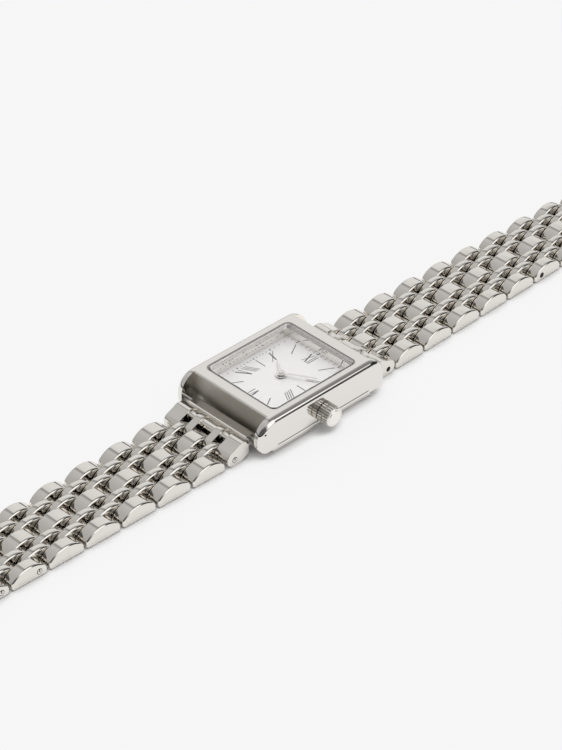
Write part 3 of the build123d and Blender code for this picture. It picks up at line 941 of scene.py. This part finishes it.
    def taper_flanks(self, row, middle):
        """Draw the outer flanks in as the bracelet narrows away from the case."""
        near = abs(middle) - LINK_HALF
        for vert in row.verts:
            if abs(vert.co.x) > (OUTER_EDGE + FLANK_START) * MM:
                vert.co.x -= math.copysign(TAPER * (abs(vert.co.y) - near * MM), vert.co.x)

    def add_pin(self, row, place):
        """A hinge pin through a row."""
        half = OUTER_EDGE + PIN_GRIP
        bmesh.ops.create_cone(
            row,
            cap_ends=True,
            segments=12,
            radius1=LINK_PIN * MM,
            radius2=LINK_PIN * MM,
            depth=2 * half * MM,
            matrix=Matrix.Translation(Vector((0.0, place, PIN_HEIGHT)) * MM)
            @ Matrix.Rotation(math.radians(90), 4, "Y"),
        )

    def set_pin_ends(self, steel):
        """Three split pins towards six, and two open bores towards twelve."""
        # Painted shade in the pin bores: near black, matt steel
        bore = plain_stuff("pin_bore_painted_shade", "#26231f", "#322e29", 0.3, 0.8)
        for name, node, place in PIN_ENDS:
            low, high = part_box(node)
            near = min(abs(low.y), abs(high.y)) / MM
            narrowing = 0.0 if node in END_LINKS else TAPER * (abs(place) - near)
            flank = high.x / MM - narrowing
            height = PIN_HEIGHT if node in END_LINKS else PIN_END_HEIGHT
            # Each bore's mouth is a flat disc of painted shade, sunk into the recess on the twelve end
            # link
            mouth = flank + (SUNK_BORE if node == "end_link_twelve" else BORE_PROUD)
            add_bore(f"{name}_bore", bore, node, (mouth, place, height), PIN_BORE)
            if "split" in name:
                self.add_split_pin(name, node, place, flank - SPLIT_SUNK, height, steel)

    def add_split_pin(self, name, node, place, flank, height, steel):
        """The rolled end of a split pin: a tube with a slot along it."""
        tool = bmesh.new()
        corners = [
            (-SPLIT_DEPTH, SPLIT_BORE),
            (SPLIT_PROUD, SPLIT_BORE),
            (SPLIT_PROUD, SPLIT_PIN),
            (-SPLIT_DEPTH, SPLIT_PIN),
        ]
        verts = [
            tool.verts.new(Vector((flank + along, place, height + out)) * MM)
            for along, out in corners
        ]
        face = tool.faces.new(verts)
        bmesh.ops.rotate(
            tool,
            verts=verts,
            cent=Vector((flank, place, height)) * MM,
            matrix=Matrix.Rotation(math.radians(SPLIT_TURN), 3, "X"),
        )
        bmesh.ops.spin(
            tool,
            geom=[face],
            cent=Vector((flank, place, height)) * MM,
            axis=(1.0, 0.0, 0.0),
            angle=math.radians(SPLIT_SWEEP),
            steps=20,
        )
        bmesh.ops.recalc_face_normals(tool, faces=tool.faces)
        add_piece(name, tool, steel, body_of(node))


# The bracelet's sizes, in millimetres; the first ones are the CAD rows' columns and pins
LINK_HEIGHT = 2.7
LINK_HALF = 3.145
LINK_BOW = 4.1349
PIN_HEIGHT = 1.13
PIN_SPAN = 1.6625
FIRST_PIN = 16.24
LUG_BAR = 12.0
LUG_BAR_HEIGHT = 2.25
TAPER = 0.134 / 6.65
CENTRE_EDGE = 1.425
INNER_EDGE = 2.805
OUTER_EDGE = 4.185
COLUMN_PLAY = 0.03
LINK_BORE = 0.52
LINK_PIN = 0.44
PIN_GRIP = 0.8
PIN_END_HEIGHT = 1.05
PIN_BORE = 0.48
SPLIT_PIN = 0.38
SPLIT_BORE = 0.13
SPLIT_DEPTH = 0.2
SPLIT_PROUD = 0.05
SPLIT_SUNK = 0.02
SPLIT_TURN = 20
SPLIT_SWEEP = 320
BORE_PROUD = 0.01
SUNK_BORE = -0.24
# Round these the end links' edges stay sharp
PIN_CLEAR = 0.75
LUG_BAR_CLEAR = 1.1
LINK_CREASE = 38.0
FLANK_START = 1.2
PIN_ENDS = (
    ("split_pin_end_link", "end_link_six", -16.24),
    ("open_bore_end_link", "end_link_twelve", 16.24),
    ("split_pin_sixth_row", "outer_row_six_6", -52.8),
    ("split_pin_seventh_row", "outer_row_six_7", -59.45),
    ("open_bore_sixth_row", "outer_row_twelve_6", 52.9),
)


class WATCH_OT_glass(bpy.types.Operator):
    """Glaze the crystal and set its gasket"""

    bl_idname = "watch.glass"
    bl_label = "Crystal"

    def execute(self, context):
        self.fit_crystal(mineral_glass(), context.scene.watch_sizes)
        # Moulded nylon: a quiet grey line round the crystal
        nylon = plain_stuff("moulded_nylon", "#868682", "#94948f", 0.4, 0.5)
        give_material("crystal_gasket", nylon)
        return {"FINISHED"}

    def fit_crystal(self, glass, sizes):
        """A ground crystal with a hair of air round it, so that its edge mirrors inwards."""
        low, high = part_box("crystal")
        air = sizes.crystal_air
        size = high - low - Vector((2 * air, 2 * air, air))
        middle = (low + high) / 2 + Vector((0, 0, air / 2))
        tool = bmesh.new()
        bmesh.ops.create_cube(
            tool, size=1.0, matrix=Matrix.Translation(middle) @ Matrix.Diagonal((*size, 1.0))
        )
        corners = [e for e in tool.edges if abs((e.verts[0].co - e.verts[1].co).z) > MM / 10]
        round_edges(tool, corners, sizes.crystal_corner / MM, 6)
        top = [e for e in tool.edges if min(v.co.z for v in e.verts) > high.z - MM / 100]
        round_edges(tool, top, CRYSTAL_EDGE, 2)
        piece = add_piece("ground_crystal", tool, glass, "case")
        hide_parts("crystal")


CRYSTAL_EDGE = 0.12


class WATCH_OT_inside(bpy.types.Operator):
    """Finish what the case holds: movement, battery, gaskets, bars and stem"""

    bl_idname = "watch.inside"
    bl_label = "Inside"

    def execute(self, context):
        steel = turned_steel()
        for node in TURNED_PARTS:
            give_material(node, steel)
        # Cut brass: warm yellow with a broad sheen
        brass = plain_stuff("cut_brass", "#b79a55", "#c8ac66", 0.5, 0.32, 1.0)
        for node in ("hour_wheel", "minute_wheel"):
            give_material(node, brass)
        # Nickelled brass: a warmer and duller grey than the steel
        nickel = plain_stuff("nickelled_brass", "#b5b1a6", "#c5c1b5", 0.6, 0.3, 1.0)
        for node in ("main_plate", "train_bridge"):
            give_material(node, nickel)
        # Moulded acetal: milky and half matt
        acetal = plain_stuff("moulded_acetal", "#bdbdb8", "#cbcbc5", 0.6, 0.5)
        give_material("movement_holder", acetal)
        # Nitrile rubber: black without a sheen
        rubber = plain_stuff("nitrile_rubber", "#151515", "#1f1f1f", 0.3, 0.7)
        give_material("back_gasket", rubber)
        # Glass epoxy under solder resist: dark green with a gloss
        board = plain_stuff("glass_epoxy_board", "#12402a", "#1a5236", 0.5, 0.35)
        give_material("circuit_board", board)
        # Enamelled wire, grain coarser than the real winding so that it shows: reddish metal
        wire = plain_stuff("enamelled_copper_wire", "#8a4a22", "#a55c2c", 0.08, 0.35, 1.0)
        give_material("coil", wire)
        return {"FINISHED"}


TURNED_PARTS = (
    "lug_bars",
    "stem",
    "crown_tube",
    "setting_lever",
    "battery",
    "battery_strap",
    "cannon_pinion",
)


class WATCH_OT_dial(bpy.types.Operator):
    """Lacquer the dial and print its numerals and minute track"""

    bl_idname = "watch.dial"
    bl_label = "Dial"

    def execute(self, context):
        colours, sizes = context.scene.watch_colours, context.scene.watch_sizes
        give_material("dial", white_lacquer(colours.lacquer))
        ink = printing_ink(colours.ink)
        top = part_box("dial")[1][2] / MM
        for hour in range(1, 13):
            tool = bmesh.new()
            self.print_hour(tool, hour, top, sizes)
            add_piece(f"hour_mark_{hour}", tool, ink, "case")
        tool = bmesh.new()
        self.print_track(tool, top, sizes)
        add_piece("minute_track", tool, ink, "case")
        return {"FINISHED"}

    def print_hour(self, tool, hour, top, sizes):
        """The numeral of an even hour or the bar of an odd one."""
        strokes = HOUR_STROKES.get(hour, [(0.0, 0.0, sizes.bar_stroke / MM)])
        turn = math.radians(90 - 30 * hour)
        outward = Vector((math.cos(turn), math.sin(turn)))
        clockwise = Vector((outward.y, -outward.x))
        for inner, outer, width in strokes:
            start, end = (
                band_point(outward, clockwise, aside, edge)
                for aside, edge in ((inner, MARK_INNER), (outer, MARK_OUTER))
            )
            add_bar(tool, start, end, width, top, INK_THICKNESS)

    def print_track(self, tool, top, sizes):
        """A stroke for each minute, and a dot for every fifth."""
        for minute in range(60):
            turn = math.radians(90 - 6 * minute)
            outward = Vector((math.cos(turn), math.sin(turn)))
            start = outward * edge_distance(outward, TRACK_INNER)
            if minute % 5:
                end = start + outward * TRACK_TICK
                add_bar(tool, start, end, sizes.track_stroke / MM, top, INK_THICKNESS)
            else:
                spot = start + outward * TRACK_TICK / 2
                middle = Vector((spot.x, spot.y, top + INK_THICKNESS / 2))
                place = Matrix.Translation(middle * MM)
                bmesh.ops.create_cone(
                    tool,
                    cap_ends=True,
                    segments=16,
                    radius1=sizes.track_dot,
                    radius2=sizes.track_dot,
                    depth=INK_THICKNESS * MM,
                    matrix=place,
                )


def edge_distance(outward, half_size):
    """How far a ray from the centre runs before it meets a rectangle."""
    return min(
        half / abs(step) for half, step in zip(half_size, outward) if abs(step) > 1e-6
    )


def band_point(outward, clockwise, aside, half_size):
    """Where a line beside an hour's ray meets a rectangle."""
    base = clockwise * aside
    across_x = abs(outward.x) * half_size[1] > abs(outward.y) * half_size[0]
    if across_x:
        run = (math.copysign(half_size[0], outward.x) - base.x) / outward.x
    else:
        run = (math.copysign(half_size[1], outward.y) - base.y) / outward.y
    return base + outward * run


# Dial print, in millimetres: half sizes of the rectangles that its marks run between
INK_THICKNESS = 0.012
MARK_INNER = (3.42, 5.04)
MARK_OUTER = (5.5, 7.29)
TRACK_INNER = (5.85, 7.65)
TRACK_TICK = 0.3
THIN, THICK = 0.1, 0.22


def ones(count, centre=0.0, gap=0.34):
    """Upright strokes side by side."""
    first = centre - gap * (count - 1) / 2
    return [(first + gap * i, first + gap * i, THIN + 0.02) for i in range(count)]


def ten(centre=0.0, half=0.34):
    """Two crossed strokes, one thick and one thin."""
    return [(centre + half, centre - half, THICK), (centre - half, centre + half, THIN)]


def five(centre=0.0, half=0.3):
    """Two strokes that meet at the foot, one thick and one thin."""
    return [(centre - 0.02, centre - half, THICK), (centre + 0.02, centre + half, THIN)]


HOUR_STROKES = {
    12: ten(-0.42) + ones(2, 0.42),
    2: ones(2),
    4: ones(4),
    6: five(-0.3) + ones(1, 0.36),
    8: five(-0.72) + ones(3, 0.42),
    10: ten(),
}


class WATCH_OT_hands(bpy.types.Operator):
    """Polish the hands"""

    bl_idname = "watch.hands"
    bl_label = "Hands"

    def execute(self, context):
        # Polished steel with a trace of haze: light hands with soft reflections
        tint = context.scene.watch_colours.hand_steel
        steel = polished_steel("polished_hand_steel", tint, 0.1, 0.2)
        for node in ("hour_hand", "minute_hand"):
            dressed_copy(node, steel, HAND_EDGE * MM)
        return {"FINISHED"}


HAND_EDGE = 0.02


class WATCH_PT_panel(bpy.types.Panel):
    """Shows the watch's colours, sizes and steps in the 3D view's sidebar"""

    bl_idname = "WATCH_PT_panel"
    bl_label = "Rectangular watch"
    bl_space_type = "VIEW_3D"
    bl_region_type = "UI"
    bl_category = "Watch"

    def draw(self, context):
        for group in (context.scene.watch_colours, context.scene.watch_sizes):
            for name in group.bl_rna.properties.keys():
                if name not in {"rna_type", "name"}:
                    self.layout.prop(group, name)
        for operator in OPERATORS:
            self.layout.operator(operator.bl_idname)


OPERATORS = (
    WATCH_OT_steel,
    WATCH_OT_crown,
    WATCH_OT_links,
    WATCH_OT_glass,
    WATCH_OT_inside,
    WATCH_OT_dial,
    WATCH_OT_hands,
    WATCH_OT_stage,
)
CLASSES = (WatchColours, WatchSizes, *OPERATORS, WATCH_PT_panel)


def register():
    for cls in CLASSES:
        bpy.utils.register_class(cls)
    bpy.types.Scene.watch_colours = bpy.props.PointerProperty(type=WatchColours)
    bpy.types.Scene.watch_sizes = bpy.props.PointerProperty(type=WatchSizes)


def unregister():
    del bpy.types.Scene.watch_sizes
    del bpy.types.Scene.watch_colours
    for cls in reversed(CLASSES):
        bpy.utils.unregister_class(cls)


def main():
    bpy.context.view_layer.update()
    register()
    bpy.ops.watch.steel()
    bpy.ops.watch.crown()
    bpy.ops.watch.links()
    bpy.ops.watch.glass()
    bpy.ops.watch.inside()
    bpy.ops.watch.dial()
    bpy.ops.watch.hands()
    bpy.ops.watch.stage()


if __name__ == "__main__":
    main()
